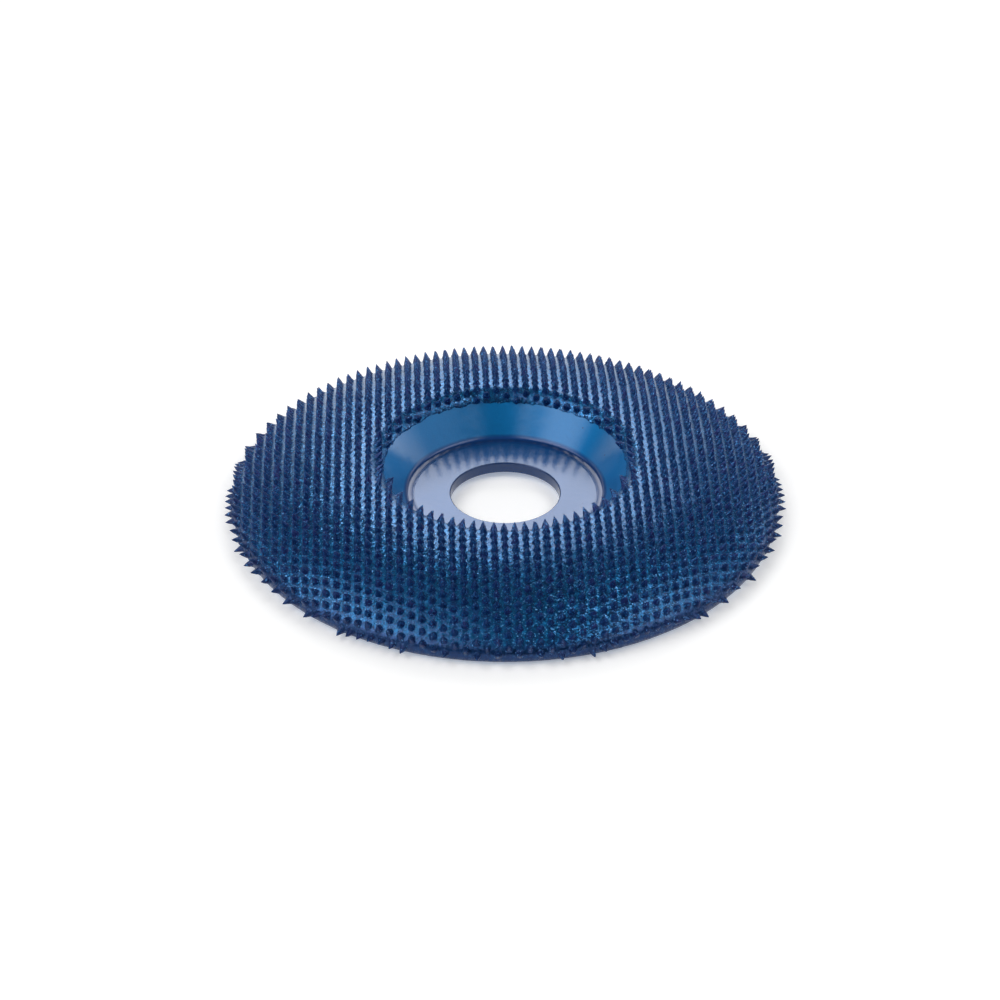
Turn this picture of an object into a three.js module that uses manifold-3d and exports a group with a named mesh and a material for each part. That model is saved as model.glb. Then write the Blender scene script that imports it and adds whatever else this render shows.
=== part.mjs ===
// Angle grinder carving disc, 114.3 mm, depressed centre, working face up.
// A pressed steel body carries a brazed facing set with straight staggered rows of sharp
// carbide teeth. Units are mm. +Z is the axis of the bore and z = 0 is the plane that the
// rim rests on. The tooth rows run along Y, turned a little anticlockwise seen from above.
import * as THREE from 'three';
import { mergeVertices } from 'three/addons/utils/BufferGeometryUtils.js';
import Module from 'manifold-3d';

// Hub plate and the cone that rises from it to the working face.
const BORE_RADIUS = 11.1125;
const HUB_TOP = 3.6;
const HUB_THICKNESS = 2.35;
const EDGE_BREAK = 0.25;
const CONE_FOOT_RADIUS = 20.15;
const CONE_SLOPE = THREE.MathUtils.degToRad(54.9);
const CONE_FILLET = 1.3;
const FILLET_STEPS = 3;

// The working face in section: lip round over the cone, shallow dome, round nose at the rim.
const LIP_RADIUS = 3.75;
const LIP_CENTRE = { r: 28, z: 8.25 };
const NOSE_RADIUS = 2.1;
const NOSE_CENTRE = { r: 53.15, z: NOSE_RADIUS };
const CREST = LIP_CENTRE.z + LIP_RADIUS;
const DOME_RADIUS = domeRadius();
const DOME_CENTRE_Z = CREST - DOME_RADIUS;
const NOSE_START_ANGLE = Math.asin((NOSE_CENTRE.r - LIP_CENTRE.r) / (DOME_RADIUS - NOSE_RADIUS));

// The face is laid out flat by its unrolled radius: the true radius on the dome, carried on
// by arc length round the nose and over the lip. The facing starts a little way down the cone
// and ends under the nose, where the bare bead of the rim begins.
const NOSE_START = LIP_CENTRE.r + DOME_RADIUS * Math.sin(NOSE_START_ANGLE);
const LIP_END = LIP_CENTRE.r - LIP_RADIUS * CONE_SLOPE;
const FACING_DOWN_CONE = 0.93;
const FACING_INNER = LIP_END - FACING_DOWN_CONE;
const FACING_END_ANGLE = THREE.MathUtils.degToRad(129);
const FACING_OUTER = NOSE_START + NOSE_RADIUS * (FACING_END_ANGLE - NOSE_START_ANGLE);
const BEAD_END_ANGLE = THREE.MathUtils.degToRad(270);
const HOLLOW_OUTER = 50.7;

// Depths below the working face, along its normal.
const STRIP_DEPTH = 0.25;
const FACING_TOP_DEPTH = 0.33;
const FACING_BOTTOM_DEPTH = 0.58;
const STEEL_TOP_DEPTH = 0.65;
const STEEL_BOTTOM_DEPTH = 2.5;
const FACING_END_GAP = 0.12;

// Teeth.
const TOOTH_HEIGHT = 1.9;
const COLUMN_PITCH = 2.05;
const TOOTH_PITCH = 2.25;
const LATTICE_TURN = THREE.MathUtils.degToRad(1.8);
const STRIP_HALF_WIDTH = 1.55;
const STRIP_ZONE = { inner: 27.5, outer: 54.8 };
const FACING_LOW_ZONE = { inner: 27.15, outer: 55.1 };
const TOOTH_ZONE = { inner: 24.3, outer: 56.75 };
const SHORTEST_STRIP = 4;
const SINGLE_TOOTH_SIDES = 3;
const SINGLE_TOOTH_FOOT = { radius: 0.8, depth: 0.5 };

// How finely the round shapes are faceted.
const AROUND = 48;
const LIP_STEPS = 2;
const DOME_STEPS = 5;
const NOSE_STEPS = 2;
const UNDERSIDE_STEPS = 6;
const BEAD_STEPS = 7;

const wasm = await Module();
wasm.setup();

// The dome touches the top of the lip and the nose without a corner.
function domeRadius() {
  const across = NOSE_CENTRE.r - LIP_CENTRE.r;
  const drop = CREST - NOSE_CENTRE.z;
  return (across ** 2 + drop ** 2 - NOSE_RADIUS ** 2) / (2 * (drop - NOSE_RADIUS));
}

// The point of the section at one unrolled radius, lifted by height along the face's normal.
function sectionPoint(unrolled, height = 0) {
  let lean, foot;
  if (unrolled > NOSE_START) {
    lean = NOSE_START_ANGLE + (unrolled - NOSE_START) / NOSE_RADIUS;
    foot = onCircle(NOSE_CENTRE, NOSE_RADIUS, lean);
  } else if (unrolled >= LIP_CENTRE.r) {
    lean = Math.asin((unrolled - LIP_CENTRE.r) / DOME_RADIUS);
    foot = onCircle({ r: LIP_CENTRE.r, z: DOME_CENTRE_Z }, DOME_RADIUS, lean);
  } else {
    lean = -Math.min((LIP_CENTRE.r - unrolled) / LIP_RADIUS, CONE_SLOPE);
    const downCone = Math.max(LIP_END - unrolled, 0);
    foot = onCircle(LIP_CENTRE, LIP_RADIUS, lean);
    foot = [foot[0] - downCone * Math.cos(CONE_SLOPE), foot[1] - downCone * Math.sin(CONE_SLOPE)];
  }
  return [foot[0] + height * Math.sin(lean), foot[1] + height * Math.cos(lean)];
}

// A point of a circle in the section, by the angle from straight up towards the rim.
function onCircle(centre, radius, angle) {
  return [centre.r + radius * Math.sin(angle), centre.z + radius * Math.cos(angle)];
}

// The same in space, for a place (x, y) of the flat layout.
function facePoint(x, y, height) {
  const unrolled = Math.hypot(x, y);
  const [r, z] = sectionPoint(unrolled, height);
  return new THREE.Vector3((x * r) / unrolled, (y * r) / unrolled, z);
}

function evenly(from, to, steps) {
  return Array.from({ length: steps + 1 }, (_, i) => from + ((to - from) * i) / steps);
}

// Unrolled radii of the facing's section corners, closer together where the face bends more.
function facingStations() {
  return [
    FACING_INNER,
    ...evenly(LIP_END, FACING_LOW_ZONE.inner, LIP_STEPS),
    ...evenly(LIP_CENTRE.r, NOSE_START, DOME_STEPS),
    ...evenly(FACING_LOW_ZONE.outer, FACING_OUTER, NOSE_STEPS),
  ];
}

// Corner rounding between two straight runs that meet at a corner of the section.
function filletPoints(corner, radius, startAngle, endAngle) {
  const half = (endAngle - startAngle) / 2;
  const away = radius / Math.cos(half);
  const middle = (startAngle + endAngle) / 2;
  const centre = { r: corner[0] - away * Math.sin(middle), z: corner[1] - away * Math.cos(middle) };
  return evenly(startAngle, endAngle, FILLET_STEPS).map((angle) => onCircle(centre, radius, angle));
}

// Sweeps a closed section round the axis. Its points run anticlockwise with r to the right.
function revolve(section) {
  const loop = [...section, section[0]].map(([r, z]) => new THREE.Vector2(r, z));
  return new THREE.LatheGeometry(loop, AROUND).rotateX(Math.PI / 2);
}

// The pressed steel body: hub plate, cone, domed flange under the facing and the rim bead.
function steelBody() {
  const hubBottom = HUB_TOP - HUB_THICKNESS;
  const underCone = sectionPoint(FACING_INNER, -STEEL_BOTTOM_DEPTH);
  const underCorner = [underCone[0] - (underCone[1] - hubBottom) / Math.tan(CONE_SLOPE), hubBottom];
  const outerBend = CONE_FILLET + HUB_THICKNESS;
  const bendUnder = filletPoints(underCorner, outerBend, Math.PI - CONE_SLOPE, Math.PI).reverse();
  // Above the plate the corner is hollow, so its rounding is turned inside out.
  const bendAbove = filletPoints([CONE_FOOT_RADIUS, HUB_TOP], -CONE_FILLET, -CONE_SLOPE, 0);
  const underLip = [LIP_END, (LIP_END + LIP_CENTRE.r) / 2];
  const underDome = evenly(LIP_CENTRE.r, HOLLOW_OUTER, UNDERSIDE_STEPS);
  const beadStart = FACING_OUTER + FACING_END_GAP;
  const beadStartAngle = FACING_END_ANGLE + FACING_END_GAP / NOSE_RADIUS;
  const cutBack = FACING_INNER - FACING_END_GAP;
  const underFacing = [beadStart, ...facingStations().reverse(), cutBack];
  return revolve([
    ...bendUnder,
    ...[...underLip, ...underDome].map((unrolled) => sectionPoint(unrolled, -STEEL_BOTTOM_DEPTH)),
    ...evenly(BEAD_END_ANGLE, beadStartAngle, BEAD_STEPS).map((a) => onCircle(NOSE_CENTRE, NOSE_RADIUS, a)),
    ...underFacing.map((unrolled) => sectionPoint(unrolled, -STEEL_TOP_DEPTH)),
    sectionPoint(cutBack),
    ...bendAbove,
    [BORE_RADIUS + EDGE_BREAK, HUB_TOP],
    [BORE_RADIUS, HUB_TOP - EDGE_BREAK],
    [BORE_RADIUS, hubBottom + EDGE_BREAK],
    [BORE_RADIUS + EDGE_BREAK, hubBottom],
  ]);
}

// The brazed facing: a skin that stands higher on the lip and the nose, where no strips lie.
function facingSkin() {
  const stations = facingStations();
  const { inner, outer } = FACING_LOW_ZONE;
  const low = stations.filter((unrolled) => unrolled >= inner && unrolled <= outer);
  const section = [
    ...stations.map((unrolled) => sectionPoint(unrolled, -FACING_BOTTOM_DEPTH)),
    ...stations.filter((unrolled) => unrolled > outer).reverse().map((u) => sectionPoint(u)),
    ...low.reverse().map((unrolled) => sectionPoint(unrolled, -FACING_TOP_DEPTH)),
    ...stations.filter((unrolled) => unrolled < inner).reverse().map((u) => sectionPoint(u)),
  ];
  return revolve(section);
}

// A lattice place, given across the rows and along them, turned to lie on the disc.
function latticePlace(across, along) {
  const [c, s] = [Math.cos(LATTICE_TURN), Math.sin(LATTICE_TURN)];
  return [across * c - along * s, across * s + along * c];
}

function unrolledAt(place) {
  return Math.hypot(...place);
}

function inZone(place, zone) {
  const unrolled = unrolledAt(place);
  return unrolled >= zone.inner && unrolled <= zone.outer;
}

// One pair of neighbouring rows, as a ribbon of triangles that alternate between the left
// and the right edge. Each triangle carries one tooth, of the row on its longer side.
function ribbonCorner(pair, k) {
  const side = k % 2 === 0 ? -1 : 1;
  return latticePlace((2 * pair + 1) * COLUMN_PITCH + side * STRIP_HALF_WIDTH, alongAt(k));
}

function ribbonTooth(pair, k) {
  const side = k % 2 === 0 ? -1 : 1;
  return latticePlace((2 * pair + 1 + side / 2) * COLUMN_PITCH, alongAt(k + 1));
}

function alongAt(k) {
  return (k / 2 - 0.25) * TOOTH_PITCH;
}

// Sorts the teeth of a pair into unbroken ribbons and the single teeth left between them.
function sortTeeth(pair) {
  const reach = 2 * Math.ceil(TOOTH_ZONE.outer / TOOTH_PITCH) + 2;
  const ribbons = [];
  const singles = [];
  let run = [];
  const endRun = () => {
    if (run.length >= SHORTEST_STRIP) ribbons.push(run);
    else singles.push(...run);
    run = [];
  };
  for (let k = -reach; k <= reach; k++) {
    const corners = [k, k + 1, k + 2].map((corner) => ribbonCorner(pair, corner));
    if (corners.every((corner) => inZone(corner, STRIP_ZONE))) {
      run.push(k);
      continue;
    }
    endRun();
    if (inZone(ribbonTooth(pair, k), TOOTH_ZONE)) singles.push(k);
  }
  endRun();
  return { ribbons, singles: singles.map((k) => ribbonTooth(pair, k)) };
}

// A ribbon as a closed mesh: teeth above, a flat back, and a wall along each edge and end.
function ribbonStrip(pair, run) {
  const first = run[0];
  const last = run[run.length - 1] + 2;
  const points = [];
  const faces = [];
  for (let k = first; k <= last; k++) {
    points.push(facePoint(...ribbonCorner(pair, k), 0), facePoint(...ribbonCorner(pair, k), -STRIP_DEPTH));
  }
  const top = (k) => 2 * (k - first);
  const back = (k) => 2 * (k - first) + 1;
  const wall = (a, b) => faces.push([top(a), back(a), top(b)], [top(b), back(a), back(b)]);
  for (const k of run) {
    const tip = points.push(facePoint(...ribbonTooth(pair, k), TOOTH_HEIGHT)) - 1;
    const ring = k % 2 === 0 ? [k, k + 1, k + 2] : [k + 2, k + 1, k];
    ring.forEach((corner, i) => faces.push([top(corner), top(ring[(i + 1) % 3]), tip]));
    faces.push([back(ring[2]), back(ring[1]), back(ring[0])]);
    if (k % 2 === 0) wall(k + 2, k);
    else wall(k, k + 2);
  }
  if (first % 2 === 0) wall(first, first + 1);
  else wall(first + 1, first);
  if (last % 2 === 0) wall(last - 1, last);
  else wall(last, last - 1);
  const geometry = new THREE.BufferGeometry();
  geometry.setAttribute('position', new THREE.Float32BufferAttribute(points.flatMap((p) => p.toArray()), 3));
  geometry.setIndex(faces.flat());
  return geometry;
}

// A single tooth: a pyramid whose foot is sunk in the facing.
function singleTooth(place) {
  const { radius, depth } = SINGLE_TOOTH_FOOT;
  const height = TOOTH_HEIGHT + depth;
  const foot = facePoint(...place, -depth);
  const normal = facePoint(...place, 1).sub(facePoint(...place, 0));
  const geometry = new THREE.ConeGeometry(radius, height, SINGLE_TOOTH_SIDES);
  geometry.translate(0, height / 2, 0);
  geometry.applyQuaternion(new THREE.Quaternion().setFromUnitVectors(new THREE.Vector3(0, 1, 0), normal));
  return geometry.translate(foot.x, foot.y, foot.z);
}

function toSolid(geometry) {
  const bare = geometry.clone();
  bare.deleteAttribute('normal');
  bare.deleteAttribute('uv');
  const merged = mergeVertices(bare, 1e-4);
  return new wasm.Manifold(new wasm.Mesh({
    numProp: 3,
    vertProperties: new Float32Array(merged.attributes.position.array),
    triVerts: new Uint32Array(merged.index.array),
  }));
}

function toGeometry(solid) {
  const mesh = solid.getMesh();
  const geometry = new THREE.BufferGeometry();
  geometry.setAttribute('position', new THREE.BufferAttribute(mesh.vertProperties, 3));
  geometry.setIndex(new THREE.BufferAttribute(mesh.triVerts, 1));
  return geometry;
}

// The facing with the teeth of the lip, the nose and the ragged ends of the strips.
function brazeFacing(places) {
  let solid = toSolid(facingSkin());
  for (const place of places) solid = solid.add(toSolid(singleTooth(place)));
  return toGeometry(solid);
}

function addPiece(group, name, geometry, look) {
  const shaded = geometry.index ? geometry.toNonIndexed() : geometry;
  shaded.computeVertexNormals();
  const mesh = new THREE.Mesh(shaded, new THREE.MeshStandardMaterial(look));
  mesh.name = name;
  group.add(mesh);
}

const LACQUERED_STEEL = { color: 0x4a78b4, roughness: 0.24, metalness: 0.55 };
const LACQUERED_FACING = { color: 0x1f5f9c, roughness: 0.4, metalness: 0.5 };
const LACQUERED_TEETH = { color: 0x1d3f80, roughness: 0.42, metalness: 0.45 };

function buildDisc() {
  const group = new THREE.Group();
  group.name = 'carving_disc';
  addPiece(group, 'steel_body', steelBody(), LACQUERED_STEEL);
  const pairs = Math.ceil(TOOTH_ZONE.outer / (2 * COLUMN_PITCH)) + 1;
  const singles = [];
  const strips = [];
  for (let pair = -pairs; pair < pairs; pair++) {
    const sorted = sortTeeth(pair);
    singles.push(...sorted.singles);
    for (const run of sorted.ribbons) strips.push(ribbonStrip(pair, run));
  }
  addPiece(group, 'braze_facing', brazeFacing(singles), LACQUERED_FACING);
  strips.forEach((strip, i) => {
    addPiece(group, `tooth_rows_${String(i + 1).padStart(2, '0')}`, strip, LACQUERED_TEETH);
  });
  return group;
}

export default buildDisc();
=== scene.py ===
"""Angle grinder carving disc: the visual model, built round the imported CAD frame."""

import math

import bpy
import numpy as np
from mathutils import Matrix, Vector, noise


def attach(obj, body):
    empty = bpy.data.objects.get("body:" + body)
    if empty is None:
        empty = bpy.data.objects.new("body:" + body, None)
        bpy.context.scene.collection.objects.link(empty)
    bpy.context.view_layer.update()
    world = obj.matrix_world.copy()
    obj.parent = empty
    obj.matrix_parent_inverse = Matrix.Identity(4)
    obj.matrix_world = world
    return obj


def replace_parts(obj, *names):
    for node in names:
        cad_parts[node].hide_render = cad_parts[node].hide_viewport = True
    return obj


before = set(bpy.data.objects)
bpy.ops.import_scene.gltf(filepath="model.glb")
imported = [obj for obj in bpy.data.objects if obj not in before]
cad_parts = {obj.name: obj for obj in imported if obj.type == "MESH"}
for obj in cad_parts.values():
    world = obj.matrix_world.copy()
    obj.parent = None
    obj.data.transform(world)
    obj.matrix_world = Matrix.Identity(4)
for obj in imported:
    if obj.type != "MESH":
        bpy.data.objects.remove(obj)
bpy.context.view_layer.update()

MM = 0.001
RNG = np.random.default_rng(20)

# The section of the disc in mm, as the CAD has it. z = 0 is the plane the rim rests on.
BORE_RADIUS = 11.1125
HUB_TOP = 3.6
HUB_BOTTOM = 1.25
CONE_FOOT = 20.15
CONE_SLOPE = math.radians(54.9)
LIP_RADIUS, LIP_R, LIP_Z = 3.75, 28.0, 8.25
NOSE_RADIUS, NOSE_R, NOSE_Z = 2.1, 53.15, 2.1
DROP = LIP_Z + LIP_RADIUS - NOSE_Z
DOME_RADIUS = ((NOSE_R - LIP_R) ** 2 + DROP**2 - NOSE_RADIUS**2) / (2 * (DROP - NOSE_RADIUS))
DOME_Z = LIP_Z + LIP_RADIUS - DOME_RADIUS
NOSE_LEAN = math.asin((NOSE_R - LIP_R) / (DOME_RADIUS - NOSE_RADIUS))
NOSE_START = LIP_R + DOME_RADIUS * math.sin(NOSE_LEAN)
LIP_END = LIP_R - LIP_RADIUS * CONE_SLOPE
FACING_INNER = LIP_END - 0.93
FACING_OUTER = NOSE_START + NOSE_RADIUS * (math.radians(129) - NOSE_LEAN)
UNDER_DEPTH = 2.5  # from the working face to the steel's back
SEAT_DEPTH = 0.62  # from the working face to the steel under the facing
SKIN_DEPTH = 0.6  # thickness of the facing

# The teeth, also as the CAD has them.
TOOTH_HEIGHT = 1.9
COLUMN_PITCH, TOOTH_PITCH = 2.05, 2.25
LATTICE_TURN = math.radians(1.8)
RIBBON_HALF = 1.55
STRIP_ZONE = (27.5, 54.8)
TOOTH_ZONE = (24.3, 56.75)
SHORTEST_RUN = 4


def section(unrolled, height=0.0):
    """Radius, height and lean of the working face at one unrolled radius."""
    if unrolled > NOSE_START:
        lean = NOSE_LEAN + (unrolled - NOSE_START) / NOSE_RADIUS
        r, z = NOSE_R + NOSE_RADIUS * math.sin(lean), NOSE_Z + NOSE_RADIUS * math.cos(lean)
    elif unrolled >= LIP_R:
        lean = math.asin((unrolled - LIP_R) / DOME_RADIUS)
        r, z = unrolled, DOME_Z + DOME_RADIUS * math.cos(lean)
    else:
        lean = -min((LIP_R - unrolled) / LIP_RADIUS, CONE_SLOPE)
        down = max(LIP_END - unrolled, 0.0)
        r = LIP_R + LIP_RADIUS * math.sin(lean) - down * math.cos(CONE_SLOPE)
        z = LIP_Z + LIP_RADIUS * math.cos(lean) - down * math.sin(CONE_SLOPE)
    return r + height * math.sin(lean), z + height * math.cos(lean), lean


def lattice_place(across, along):
    c, s = math.cos(LATTICE_TURN), math.sin(LATTICE_TURN)
    return across * c - along * s, across * s + along * c


def along_at(k):
    return (k / 2 - 0.25) * TOOTH_PITCH


def ribbon_corner(pair, k):
    side = -1 if k % 2 == 0 else 1
    return lattice_place((2 * pair + 1) * COLUMN_PITCH + side * RIBBON_HALF, along_at(k))


def ribbon_tooth(pair, k):
    side = -1 if k % 2 == 0 else 1
    return lattice_place((2 * pair + 1 + side / 2) * COLUMN_PITCH, along_at(k + 1))


def within(place, zone):
    return zone[0] <= math.hypot(*place) <= zone[1]


def sort_teeth():
    """The teeth of each packed strip, in the CAD's order, and those that stand on the facing."""
    pairs = math.ceil(TOOTH_ZONE[1] / (2 * COLUMN_PITCH)) + 1
    reach = 2 * math.ceil(TOOTH_ZONE[1] / TOOTH_PITCH) + 2
    strips, singles = [], []
    for pair in range(-pairs, pairs):
        run = []
        for k in range(-reach, reach + 2):
            corners = [ribbon_corner(pair, c) for c in (k, k + 1, k + 2)]
            if k <= reach and all(within(c, STRIP_ZONE) for c in corners):
                run.append(ribbon_tooth(pair, k))
                continue
            if len(run) >= SHORTEST_RUN:
                strips.append(run)
            else:
                singles += run
            run = []
            if k <= reach and within(ribbon_tooth(pair, k), TOOTH_ZONE):
                singles.append(ribbon_tooth(pair, k))
    return strips, singles


def new_mesh(name, points, faces, materials, smooth=True):
    mesh = bpy.data.meshes.new(name)
    mesh.from_pydata((np.asarray(points) * MM).tolist(), [], faces)
    mesh.update()
    if smooth:
        mesh.polygons.foreach_set("use_smooth", [True] * len(mesh.polygons))
    obj = bpy.data.objects.new(name, mesh)
    bpy.context.scene.collection.objects.link(obj)
    for m in materials:
        mesh.materials.append(m)
    return obj


def revolve(name, ring, segments, material, move=None):
    """Sweeps a closed section loop round the axis. move may shift a point by its angle."""
    count = len(ring)
    points = []
    for j in range(segments):
        angle = 2 * math.pi * j / segments
        c, s = math.cos(angle), math.sin(angle)
        for i, (r, z) in enumerate(ring):
            if move:
                r, z = move(i, angle, r, z)
            points.append((r * c, r * s, z))
    faces = []
    for j in range(segments):
        a, b = j * count, (j + 1) % segments * count
        for i in range(count):
            k = (i + 1) % count
            faces.append((a + i, b + i, b + k, a + k))
    return new_mesh(name, points, faces, [material])


def arc(r, z, radius, start, end, steps):
    """Points of a circle in the section, by the angle from straight up towards the rim."""
    return [
        (r + radius * math.sin(a), z + radius * math.cos(a))
        for a in np.linspace(start, end, steps + 1)
    ]


def line(a, b, steps):
    return [tuple(np.array(a) + (np.array(b) - np.array(a)) * t) for t in np.linspace(0, 1, steps + 1)]


def corner(point, radius, start, end, steps):
    """Rounds the corner of the section between the faces that lean by start and end."""
    away = radius / math.cos((end - start) / 2)
    mid = (start + end) / 2
    return arc(point[0] - away * math.sin(mid), point[1] - away * math.cos(mid), radius, start, end, steps)


# ---------------------------------------------------------------- materials
class Nodes:
    """A small helper that builds one material's node tree."""

    def __init__(self, name):
        self.material = bpy.data.materials.new(name)
        self.material.use_nodes = True
        self.tree = self.material.node_tree
        self.shader = self.tree.nodes["Principled BSDF"]

    def add(self, kind, **settings):
        node = self.tree.nodes.new(kind)
        for key, value in settings.items():
            if hasattr(node, key):
                setattr(node, key, value)
            else:
                node.inputs[key.replace("_", " ")].default_value = value
        return node

    def link(self, a, b):
        self.tree.links.new(a, b)

    def noise(self, where, scale, detail=2.0, rough=0.5):
        node = self.add("ShaderNodeTexNoise", Scale=scale, Detail=detail, Roughness=rough)
        self.link(where, node.inputs["Vector"])
        return node.outputs["Fac"]

    def ramp(self, fac, stops):
        node = self.tree.nodes.new("ShaderNodeValToRGB")
        elements = node.color_ramp.elements
        while len(elements) < len(stops):
            elements.new(0.5)
        for element, (at, value) in zip(elements, stops):
            element.position = at
            element.color = (*value, 1.0) if len(value) == 3 else value
        self.link(fac, node.inputs["Fac"])
        return node.outputs["Color"]

    def grey(self, fac, stops):
        return self.ramp(fac, [(at, (v, v, v)) for at, v in stops])

    def mix(self, fac, a, b, blend="MIX"):
        node = self.add("ShaderNodeMix", data_type="RGBA", blend_type=blend)
        for socket, value in ((node.inputs["Factor"], fac), (node.inputs[6], a), (node.inputs[7], b)):
            if hasattr(value, "is_output"):
                self.link(value, socket)
            elif isinstance(value, (tuple, list)):
                socket.default_value = (*value, 1.0)
            else:
                socket.default_value = value
        return node.outputs[2]

    def math(self, operation, a, b):
        node = self.add("ShaderNodeMath", operation=operation)
        for socket, value in ((node.inputs[0], a), (node.inputs[1], b)):
            if hasattr(value, "is_output"):
                self.link(value, socket)
            else:
                socket.default_value = value
        return node.outputs[0]

    def bump(self, height, strength, distance, after=None):
        node = self.add("ShaderNodeBump", Strength=strength, Distance=distance)
        self.link(height, node.inputs["Height"])
        if after:
            self.link(after, node.inputs["Normal"])
        return node.outputs["Normal"]

    def span(self, value, start, end):
        """Rises from nought at start to one at end."""
        node = self.add("ShaderNodeMapRange", From_Min=start, From_Max=end)
        self.link(value, node.inputs["Value"])
        return node.outputs["Result"]

    def valley(self, at):
        """One midway between two columns of teeth and nought along a column."""
        across = self.add("ShaderNodeVectorMath", operation="DOT_PRODUCT")
        self.link(at, across.inputs[0])
        wave = 2 * math.pi / (COLUMN_PITCH * MM)
        across.inputs[1].default_value = (wave * math.cos(LATTICE_TURN), wave * math.sin(LATTICE_TURN), 0.0)
        return self.span(self.math("COSINE", across.outputs["Value"], 0.0), -0.5, 0.7)

    def reach(self, at):
        """Distance from the disc's axis in metres."""
        flat = self.add("ShaderNodeVectorMath", operation="MULTIPLY")
        self.link(at, flat.inputs[0])
        flat.inputs[1].default_value = (1.0, 1.0, 0.0)
        length = self.add("ShaderNodeVectorMath", operation="LENGTH")
        self.link(flat.outputs[0], length.inputs[0])
        return length.outputs["Value"]

    def place(self):
        return self.add("ShaderNodeTexCoord").outputs["Object"]

    def set(self, **values):
        for key, value in values.items():
            socket = self.shader.inputs[key.replace("_", " ")]
            if hasattr(value, "is_output"):
                self.link(value, socket)
            else:
                socket.default_value = (*value, 1.0) if isinstance(value, tuple) else value


def steel_lacquer():
    """Blue lacquer over pressed steel: flake, faint orange peel and a few specks of dust.

    It has painted shade: a darker copy of the lacquer on the plate's top, a darker ring in the fillet at
    the cone's foot and darker lacquer in the bore."""
    n = Nodes("blue_lacquer")
    at = n.place()
    wide = n.noise(at, 60.0, 3.0)
    flake = n.noise(at, 5200.0, 1.0)
    colour = n.ramp(wide, [(0.3, (0.001, 0.158, 0.410)), (0.7, (0.002, 0.190, 0.475))])
    colour = n.mix(n.grey(flake, [(0.56, 0.0), (0.72, 0.5)]), colour, (0.006, 0.22, 0.50))
    away = n.reach(at)
    parts = n.add("ShaderNodeSeparateXYZ")
    n.link(at, parts.inputs[0])
    # Painted shade: the plate's flat top faces the lamps and gets more light than the cone, so it takes a
    # darker copy of the lacquer. This mask also bounds the fillet's painted shade.
    front = n.span(parts.outputs["Z"], (HUB_TOP - 1.2) * MM, (HUB_TOP - 0.4) * MM)
    plate = n.math("MULTIPLY", front, n.span(away, (CONE_FOOT + 0.6) * MM, (CONE_FOOT + 0.1) * MM))
    colour = n.mix(n.math("MULTIPLY", plate, 0.85), colour, (0.005, 0.085, 0.285))
    # Painted shade: a dark ring in the crease of the fillet at the cone's foot.
    painted_fillet_shade = n.math("MULTIPLY", plate, n.span(away, (CONE_FOOT - 1.9) * MM, (CONE_FOOT - 0.9) * MM))
    colour = n.mix(n.math("MULTIPLY", painted_fillet_shade, 0.8), colour, (0.004, 0.040, 0.180))
    # Painted shade: the wall of the bore, a recess, takes a darker lacquer colour.
    bore = n.span(away, (BORE_RADIUS + 0.33) * MM, (BORE_RADIUS + 0.14) * MM)
    colour = n.mix(bore, colour, (0.004, 0.040, 0.150))
    specks = n.add("ShaderNodeTexVoronoi", Scale=420.0)
    n.link(at, specks.inputs["Vector"])
    dust = n.grey(specks.outputs["Distance"], [(0.07, 1.0), (0.11, 0.0)])
    few = n.grey(n.noise(at, 300.0), [(0.60, 0.0), (0.64, 1.0)])
    colour = n.mix(n.math("MULTIPLY", dust, few), colour, (0.003, 0.012, 0.05))
    n.set(
        Base_Color=colour,
        Metallic=0.92,
        Roughness=n.grey(wide, [(0.3, 0.55), (0.7, 0.62)]),
        Coat_Weight=1.0,
        Coat_Roughness=0.17,
        Coat_IOR=1.47,
    )
    normal = n.bump(n.noise(at, 900.0, 2.0), 0.10, 0.0004)
    n.set(Normal=normal, Coat_Normal=n.bump(n.noise(at, 350.0, 2.0), 0.06, 0.0006))
    return n.material


def facets(n, at, scale, tilt):
    """A normal that turns from grain to grain, and a random number for each grain."""
    cells = n.add("ShaderNodeTexVoronoi", Scale=scale)
    n.link(at, cells.inputs["Vector"])
    offset = n.add("ShaderNodeVectorMath", operation="SUBTRACT")
    n.link(cells.outputs["Color"], offset.inputs[0])
    offset.inputs[1].default_value = (0.5, 0.5, 0.5)
    spread = n.add("ShaderNodeVectorMath", operation="SCALE")
    n.link(offset.outputs[0], spread.inputs[0])
    spread.inputs["Scale"].default_value = tilt
    turned = n.add("ShaderNodeVectorMath", operation="ADD")
    n.link(n.add("ShaderNodeNewGeometry").outputs["Normal"], turned.inputs[0])
    n.link(spread.outputs[0], turned.inputs[1])
    unit = n.add("ShaderNodeVectorMath", operation="NORMALIZE")
    n.link(turned.outputs[0], unit.inputs[0])
    parts = n.add("ShaderNodeSeparateColor")
    n.link(cells.outputs["Color"], parts.inputs[0])
    return unit.outputs[0], parts.outputs[0]


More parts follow.
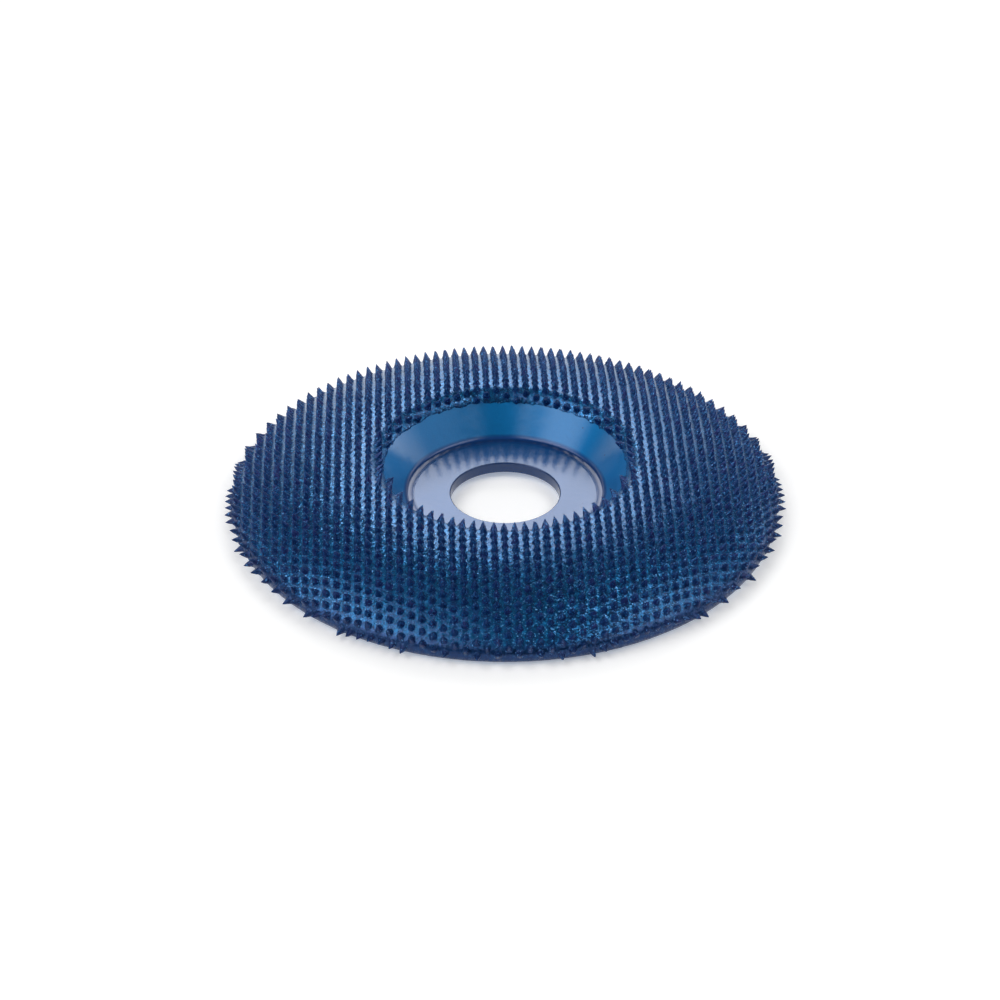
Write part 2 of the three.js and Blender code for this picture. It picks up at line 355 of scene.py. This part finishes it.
def braze_lacquer():
    """The same lacquer over braze: teal and gritty all over, with painted shade along the columns of teeth
    and on the rim, and painted glints on some grains.
    """
    n = Nodes("lacquered_braze")
    at = n.place()
    pool = n.noise(at, 420.0, 3.0, 0.6)
    grain, chance = facets(n, at, 4200.0, 0.35)
    gentle, _ = facets(n, at, 4200.0, 0.16)
    colour = n.ramp(pool, [(0.32, (0.003, 0.086, 0.245)), (0.68, (0.003, 0.138, 0.350))])
    # Painted shade: the braze along each column of teeth, where the teeth crowd it, is darkened. The lanes
    # between the columns stay lighter.
    column = n.span(n.valley(at), 1.0, 0.0)
    colour = n.mix(n.math("MULTIPLY", column, 0.65), colour, (0.003, 0.028, 0.12))
    colour = n.mix(n.grey(chance, [(0.20, 0.7), (0.50, 0.0)]), colour, (0.003, 0.022, 0.09))
    # Painted glints: random grains are made bright cyan, and the rarest ones paler still.
    colour = n.mix(n.grey(chance, [(0.74, 0.0), (0.97, 0.7)]), colour, (0.012, 0.23, 0.56))
    colour = n.mix(n.grey(chance, [(0.91, 0.0), (0.98, 0.7)]), colour, (0.12, 0.33, 0.66))
    # Painted shade: the braze on the outward face of the rim is darkened.
    rim = n.span(n.reach(at), (NOSE_R + 0.45) * MM, (NOSE_R + 1.75) * MM)
    colour = n.mix(n.math("MULTIPLY", rim, 0.85), colour, (0.003, 0.026, 0.115))
    n.set(
        Base_Color=colour,
        Metallic=0.85,
        Roughness=0.34,
        Coat_Weight=0.35,
        Coat_Roughness=0.18,
        Coat_IOR=1.5,
    )
    n.set(Normal=grain, Coat_Normal=gentle)
    return n.material


def tooth_lacquer():
    """Dark lacquer over carbide, a little violet, with the teal braze drawn up round the foot, painted
    glints on some grains and painted shade towards the rim.
    """
    n = Nodes("lacquered_carbide")
    at = n.place()
    each = n.noise(at, 380.0, 1.0)
    grain, chance = facets(n, at, 4200.0, 0.5)
    tones = [(0.35, (0.002, 0.030, 0.14)), (0.5, (0.003, 0.045, 0.18)), (0.65, (0.010, 0.026, 0.15))]
    colour = n.ramp(each, tones)
    rise = n.add("ShaderNodeAttribute", attribute_name="rise").outputs["Fac"]
    wavy = n.math("ADD", rise, n.math("MULTIPLY", n.noise(at, 1500.0, 2.0), 0.5))
    colour = n.mix(n.grey(wavy, [(0.12, 0.9), (0.50, 0.0)]), colour, (0.003, 0.095, 0.25))
    # Painted glints: random grains on the teeth are made bright blue.
    colour = n.mix(n.grey(chance, [(0.72, 0.0), (0.98, 0.8)]), colour, (0.012, 0.20, 0.52))
    # Painted shade: the teeth on the outward face of the rim are darkened.
    rim = n.span(n.reach(at), (NOSE_R + 0.85) * MM, (NOSE_R + 2.05) * MM)
    colour = n.mix(n.math("MULTIPLY", rim, 0.6), colour, (0.003, 0.018, 0.090))
    # Painted glints: the rarest grains are made paler still.
    colour = n.mix(n.grey(chance, [(0.93, 0.0), (0.98, 0.8)]), colour, (0.10, 0.27, 0.60))
    n.set(
        Base_Color=colour,
        Metallic=0.5,
        Roughness=0.40,
        Coat_Weight=0.1,
        Coat_Roughness=0.25,
        Coat_IOR=1.5,
    )
    n.set(Normal=grain, Coat_Normal=n.bump(each, 0.3, 0.0003))
    return n.material


def floor_paper():
    n = Nodes("studio_paper")
    at = n.place()
    tone = n.noise(at, 9.0, 2.0)
    n.set(Base_Color=n.grey(tone, [(0.3, 0.80), (0.7, 0.83)]), Roughness=0.75, Specular_IOR_Level=0.2)
    n.set(Emission_Color=(1.0, 1.0, 1.0), Emission_Strength=0.30)
    return n.material


STEEL, BRAZE, TOOTH = steel_lacquer(), braze_lacquer(), tooth_lacquer()


# ---------------------------------------------------------------- the steel body
DISH_START, DISH = 14.8, math.radians(6.0)
FOOT_FILLET, BACK_FILLET = 1.1, 3.65
GROOVE_R, GROOVE_HALF, GROOVE_DEPTH = 18.74, 0.18, 0.045
BORE_EDGE = 0.25


def plate_height(r):
    """The plate's top is flat for the nut and turns up a little towards the cone."""
    out = max(r - DISH_START, 0.0)
    return HUB_TOP + math.tan(DISH) * out**2 / (2 * (CONE_FOOT - DISH_START))


def steel_body():
    """The pressed body, with its bends, its broken edges and the coined ring round the plate."""
    under_cone = section(FACING_INNER, -UNDER_DEPTH)
    under_corner = (under_cone[0] - (under_cone[1] - HUB_BOTTOM) / math.tan(CONE_SLOPE), HUB_BOTTOM)
    seat_edge = FACING_INNER + 1.9
    above = corner((CONE_FOOT, plate_height(CONE_FOOT)), -FOOT_FILLET, -CONE_SLOPE, -DISH, 10)
    ring = []
    ring += corner(under_corner, BACK_FILLET, math.pi, math.pi - CONE_SLOPE, 10)
    ring += [section(u, -UNDER_DEPTH)[:2] for u in np.linspace(LIP_END, LIP_R, 6)]
    ring += [section(u, -UNDER_DEPTH)[:2] for u in np.linspace(LIP_R + 1, 50.7, 24)]
    ring += arc(NOSE_R, NOSE_Z, NOSE_RADIUS, math.radians(268), math.radians(131), 26)
    ring += [section(u, -SEAT_DEPTH)[:2] for u in np.linspace(FACING_OUTER + 0.1, NOSE_START, 14)]
    ring += [section(u, -SEAT_DEPTH)[:2] for u in np.linspace(NOSE_START - 1, LIP_R, 24)]
    ring += [section(u, -SEAT_DEPTH)[:2] for u in np.linspace(LIP_R - 0.5, seat_edge + 0.4, 5)]
    ring += [section(u)[:2] for u in np.linspace(seat_edge, LIP_END, 5)[:-1]]
    ring += line(section(LIP_END)[:2], above[0], 10)
    ring += above[1:]
    for away in (0.18, 0.08, 0.0, -0.08, -0.18):
        r = GROOVE_R + away
        dip = GROOVE_DEPTH * math.cos(away / GROOVE_HALF * math.pi / 2)
        ring.append((r, plate_height(r) - dip))
    ring += [(r, plate_height(r)) for r in np.linspace(GROOVE_R - 0.34, BORE_RADIUS + 0.34, 16)]
    edge_r = BORE_RADIUS + BORE_EDGE
    ring += arc(edge_r, HUB_TOP - BORE_EDGE, BORE_EDGE, 0, -math.pi / 2, 4)
    ring += arc(edge_r, HUB_BOTTOM + BORE_EDGE, BORE_EDGE, -math.pi / 2, -math.pi, 4)
    body = revolve("steel_body_pressed", ring, 360, STEEL)
    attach(body, "root")
    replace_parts(body, "steel_body")


# ---------------------------------------------------------------- the braze facing
def braze_facing():
    """The skin between the teeth: lumpy, raised a little over the cone, with a ragged edge."""
    tops = list(np.linspace(FACING_INNER, LIP_R, 22))
    tops += list(np.linspace(LIP_R + 0.4, NOSE_START, 64))
    tops += list(np.linspace(NOSE_START + 0.2, FACING_OUTER, 18))
    unders = list(np.linspace(FACING_OUTER, NOSE_START, 8))
    unders += list(np.linspace(NOSE_START - 1, LIP_R, 14))
    unders += list(np.linspace(LIP_R - 0.5, FACING_INNER, 8))
    ring = [(u, 0.0) for u in reversed(tops)] + [(u, -SKIN_DEPTH) for u in reversed(unders)]
    top_count = len(tops)

    def move(i, angle, unrolled, height):
        x, y = unrolled * math.cos(angle), unrolled * math.sin(angle)
        spread = Vector((x, y, 0.0))
        edge = max(0.0, 1.0 - (unrolled - FACING_INNER) / 1.6)
        ragged = noise.noise(spread * 0.55) * 0.55
        ragged += noise.noise(spread * 1.7 + Vector((9, 3, 1))) * 0.28
        unrolled += ragged * edge
        if i < top_count:
            lumps = noise.noise(spread * 1.1) * 0.035 + noise.noise(spread * 2.9) * 0.025
            in_from_edge = tops[top_count - 1 - i] - FACING_INNER
            height = lumps - 0.16 + 0.24 * math.tanh(in_from_edge / 0.30)
        return section(unrolled, height)[:2]

    skin = revolve("braze_facing_skin", ring, 720, BRAZE, move)
    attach(skin, "root")
    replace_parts(skin, "braze_facing")


# ---------------------------------------------------------------- the teeth
SIDES = 10
# Height above the face and radius, mm. The foot flares into the braze.
SPIRE = np.array([
    (-0.30, 0.98), (-0.02, 0.92), (0.10, 0.80), (0.30, 0.68), (0.62, 0.575),
    (0.95, 0.46), (1.28, 0.32), (1.58, 0.180), (1.80, 0.070),
])


def tooth_points(place):
    """One spire with its own lean, girth and chips."""
    unrolled = math.hypot(*place)
    r, z, lean = section(unrolled)
    out = np.array((place[0] / unrolled, place[1] / unrolled, 0.0))
    up = np.array((0.0, 0.0, 1.0))
    normal = out * math.sin(lean) + up * math.cos(lean)
    first = out * math.cos(lean) - up * math.sin(lean)
    second = np.cross(normal, first)
    foot = out * r + up * z
    tilt = RNG.normal(0, 0.045, 2)
    girth, tall = 1 + RNG.normal(0, 0.06), 1 + RNG.normal(0, 0.035)
    turn = RNG.uniform(0, 2 * math.pi)
    chips = RNG.normal(0, 0.055, (len(SPIRE), SIDES))
    round_it = np.linspace(0, 2 * math.pi, SIDES, endpoint=False)
    flats = 0.07 * np.cos(RNG.integers(3, 6) * round_it + turn)
    points = []
    for i, (height, radius) in enumerate(SPIRE):
        lift = height * tall if height > 0 else height
        middle = foot + normal * lift + (first * tilt[0] + second * tilt[1]) * max(lift, 0)
        for j in range(SIDES):
            a = turn + 2 * math.pi * j / SIDES
            away = radius * girth * (1 + chips[i, j] + flats[j])
            points.append(middle + (first * math.cos(a) + second * math.sin(a)) * away)
    top = TOOTH_HEIGHT * min(tall, 1.03)
    points.append(foot + normal * top + (first * tilt[0] + second * tilt[1]) * top)
    return points


def tooth_faces(base):
    faces = [tuple(base + j for j in reversed(range(SIDES)))]
    rings = len(SPIRE)
    for i in range(rings - 1):
        for j in range(SIDES):
            k = (j + 1) % SIDES
            a, b = base + i * SIDES, base + (i + 1) * SIDES
            faces.append((a + j, a + k, b + k, b + j))
    last, tip = base + (rings - 1) * SIDES, base + rings * SIDES
    faces += [(last + j, last + (j + 1) % SIDES, tip) for j in range(SIDES)]
    return faces


def teeth(name, places):
    points, faces = [], []
    for place in places:
        faces += tooth_faces(len(points))
        points += tooth_points(place)
    piece = new_mesh(name, points, faces, [TOOTH])
    rise = [height for height, _ in SPIRE for _ in range(SIDES)] + [TOOTH_HEIGHT]
    piece.data.attributes.new("rise", "FLOAT", "POINT").data.foreach_set("value", rise * len(places))
    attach(piece, "root")
    return piece


# ---------------------------------------------------------------- studio
def cone_of(full, gone):
    """Cosines at which a round light is gone and full, from its half angles in degrees."""
    return math.cos(math.radians(gone)), math.cos(math.radians(full))


# Soft light by direction from the disc. Each light has its radiance and its windows: an axis, and
# how far along that axis a direction points where the light is gone and where it is full.
LIGHTS = (
    (1.3, ((0, 1, 0), 0.08, 0.55), ((0, 0, 1), 0.54, 0.32)),
    (4.4, ((0.0, 0.81, 0.59), *cone_of(7, 17))),
    (2.3, ((-0.75, -0.38, 0.44), *cone_of(8, 27))),
    (2.7, ((-1, 0, 0), 0.10, 0.32), ((-0.73, -0.68, 0), 0.17, 0.30), ((0, 0, 1), 0.58, 0.72)),
    (2.2, ((1, 0, 0), 0.26, 0.46), ((0.73, -0.68, 0), 0.15, 0.28), ((0, 0, 1), 0.58, 0.72)),
    (0.6, ((0.86, -0.20, 0.45), *cone_of(8, 34))),
    (1.1, ((0.90, 0.38, 0.20), *cone_of(8, 26))),
)
AMBIENT = 0.05


def sky(world):
    """Smooth studio light all round: a bright wall behind, glows above and dark in front."""
    world.use_nodes = True
    tree = world.node_tree
    way = tree.nodes.new("ShaderNodeTexCoord").outputs["Generated"]

    def add(kind, **settings):
        node = tree.nodes.new(kind)
        for key, value in settings.items():
            setattr(node, key, value)
        return node

    def window(value, gone, full):
        """Rises smoothly from nought at gone to one at full."""
        node = add("ShaderNodeMapRange", interpolation_type="SMOOTHSTEP")
        tree.links.new(value, node.inputs["Value"])
        node.inputs["From Min"].default_value = gone
        node.inputs["From Max"].default_value = full
        return node.outputs["Result"]

    def combine(operation, first, second):
        node = add("ShaderNodeMath", operation=operation)
        for socket, value in zip(node.inputs, (first, second)):
            if hasattr(value, "is_output"):
                tree.links.new(value, socket)
            else:
                socket.default_value = value
        return node.outputs[0]

    total = AMBIENT
    for radiance, *windows in LIGHTS:
        for axis, gone, full in windows:
            facing = add("ShaderNodeVectorMath", operation="DOT_PRODUCT")
            tree.links.new(way, facing.inputs[0])
            facing.inputs[1].default_value = Vector(axis).normalized()
            radiance = combine("MULTIPLY", window(facing.outputs["Value"], gone, full), radiance)
        total = combine("ADD", total, radiance)
    light = tree.nodes["Background"]
    light.inputs["Color"].default_value = (1.0, 1.0, 1.0, 1.0)
    tree.links.new(total, light.inputs["Strength"])
    seen = tree.nodes.new("ShaderNodeBackground")
    seen.inputs["Color"].default_value = (1.0, 1.0, 1.0, 1.0)
    path = tree.nodes.new("ShaderNodeLightPath")
    blend = tree.nodes.new("ShaderNodeMixShader")
    tree.links.new(path.outputs["Is Camera Ray"], blend.inputs["Fac"])
    tree.links.new(light.outputs[0], blend.inputs[1])
    tree.links.new(seen.outputs[0], blend.inputs[2])
    tree.links.new(blend.outputs[0], tree.nodes["World Output"].inputs["Surface"])


def studio():
    """The floor, the light and a camera that looks down on the disc from the front."""
    scene = bpy.context.scene
    half, below = 4000, -0.02
    corners = [(-half, -half, below), (half, -half, below), (half, half, below), (-half, half, below)]
    floor = new_mesh("studio_floor", corners, [(0, 1, 2, 3)], [floor_paper()], smooth=False)
    scene.world = bpy.data.worlds.new("studio")
    sky(scene.world)
    scene.view_settings.view_transform = "Standard"
    scene.view_settings.look = "None"

    elevation, away = math.radians(33.08), 0.690
    aim = Vector((0.0, 0.0, HUB_TOP * MM))
    back = Vector((0.0, -math.cos(elevation), math.sin(elevation)))
    data = bpy.data.cameras.new("photo_camera")
    data.lens, data.sensor_width = 122.0, 36.0
    data.shift_x, data.shift_y = -0.0052, -0.0077
    data.clip_start = 0.01
    camera = bpy.data.objects.new("photo_camera", data)
    camera.location = aim + back * away
    camera.rotation_mode = "QUATERNION"
    camera.rotation_quaternion = (-back).to_track_quat("-Z", "Y")
    scene.collection.objects.link(camera)
    scene.camera = camera


studio()
steel_body()
braze_facing()
strips, singles = sort_teeth()
for number, places in enumerate(strips, 1):
    node = f"tooth_rows_{number:02d}"
    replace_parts(teeth(node + "_teeth", places), node)
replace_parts(teeth("facing_teeth", singles), "braze_facing")
